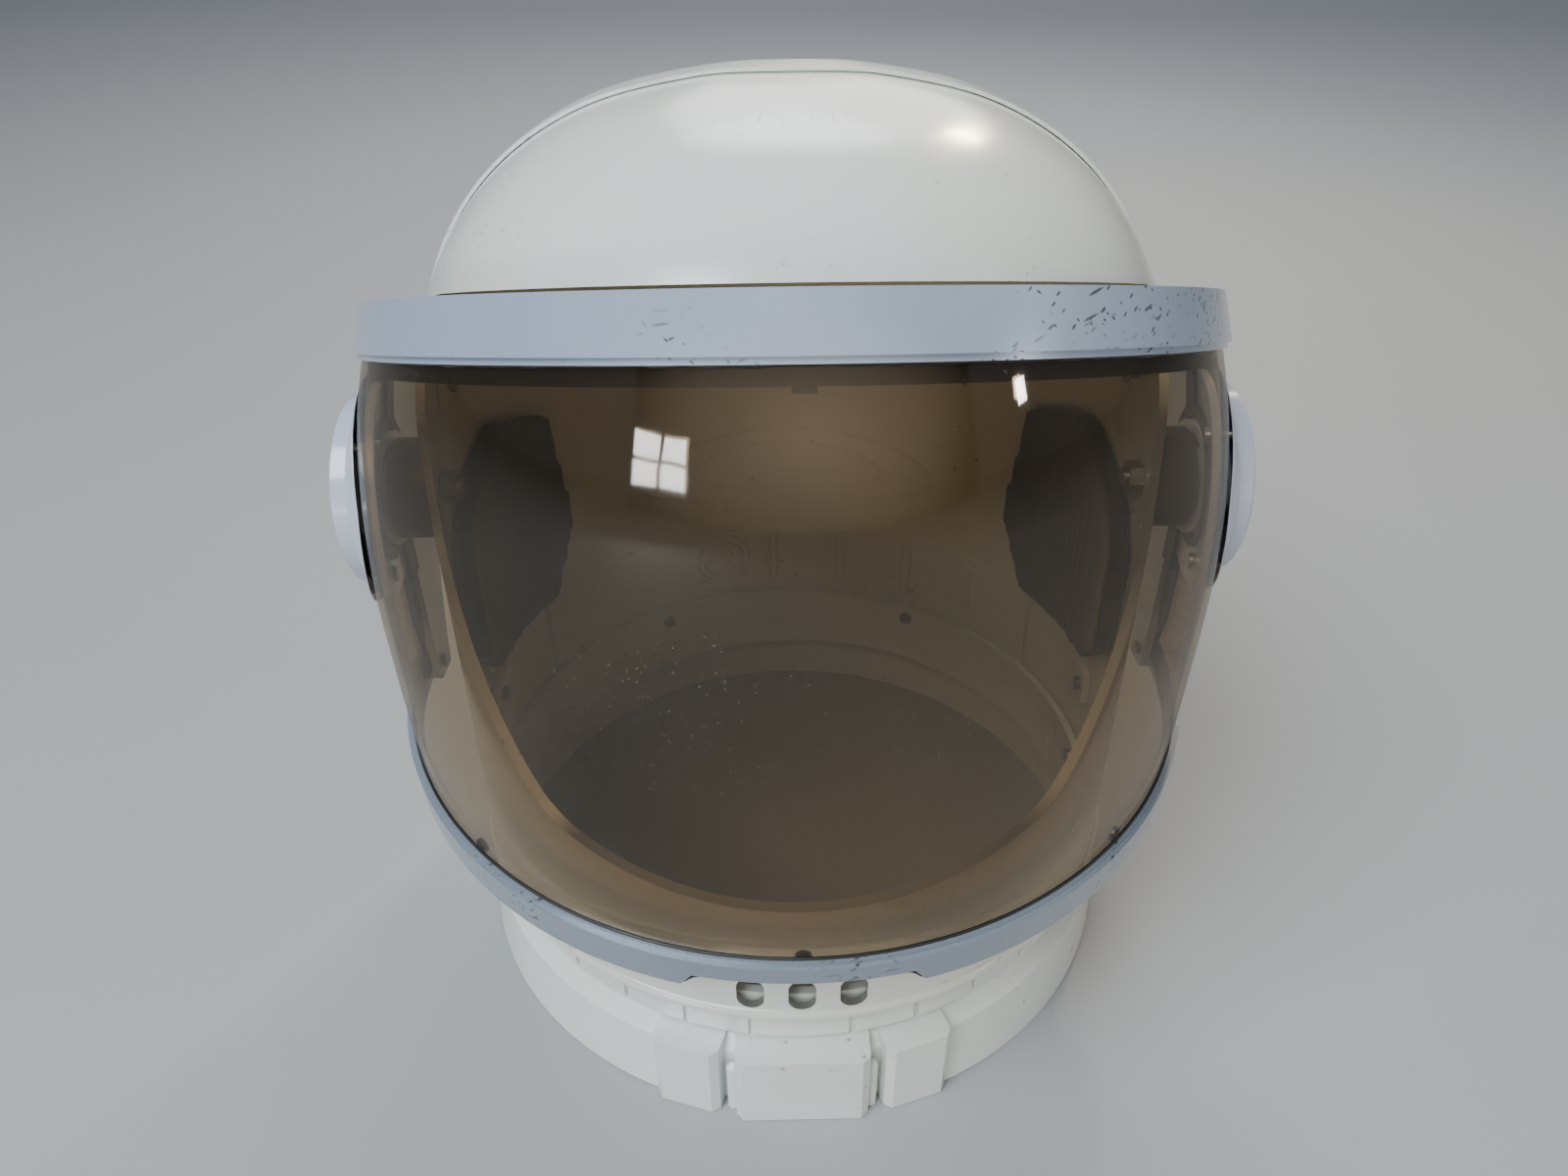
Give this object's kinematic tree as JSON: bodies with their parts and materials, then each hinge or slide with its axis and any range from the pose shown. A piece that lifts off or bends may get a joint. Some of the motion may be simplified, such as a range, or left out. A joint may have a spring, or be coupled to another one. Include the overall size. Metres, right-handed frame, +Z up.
{
  "type": "astronaut helmet",
  "caption": "White round-crowned astronaut helmet on a flared neck ring, with a wide smoke-tinted visor that lifts on two round ear pods.",
  "frame": {"origin": "centre of the neck ring on the surface that the helmet stands on", "axes": "+Z up, the face looks towards -Y, +X is the wearer's left"},
  "size_m": [0.32, 0.2811, 0.3279],
  "materials": {
    "shell": "glossy moulded plastic",
    "ring": "glossy moulded plastic",
    "bar": "pearl paint with scratches",
    "pod": "glossy moulded plastic",
    "plate": "glossy moulded plastic",
    "lens": "clear smoke-brown sheet",
    "liner": "matt black",
    "pad": "dark foam with cloth cover",
    "bush": "smooth",
    "washer": "smooth",
    "steel": "plain"
  },
  "bodies": {
    "helmet": {"front_shell": "shell", "rear_shell": "shell", "neck_ring": "ring", "temple_pad_left": "pad", "temple_pad_right": "pad", "pivot_bush_left": "bush", "pivot_bush_right": "bush", "pivot_bolts": "steel", "pivot_nuts": "steel", "pivot_washers": "steel", "friction_washers": "washer", "ring_screws": "steel", "seam_screws": "steel"},
    "visor": {"visor_lens": "lens", "brow_bar": "bar", "chin_bar": "bar", "visor_liner": "liner", "side_plate_left": "plate", "side_plate_right": "plate", "pod_base_left": "pod", "pod_base_right": "pod", "pod_cap_left": "pod", "pod_cap_right": "pod", "lens_screws": "steel", "frame_screws": "steel", "pod_screws": "steel"}
  },
  "joints": [
    {"name": "visor_lift", "type": "hinge", "parent": "helmet", "child": "visor", "pos_m": [0, -0.015, 0.196], "axis": [-1, 0, 0], "range_deg": [0, 60]}
  ]
}
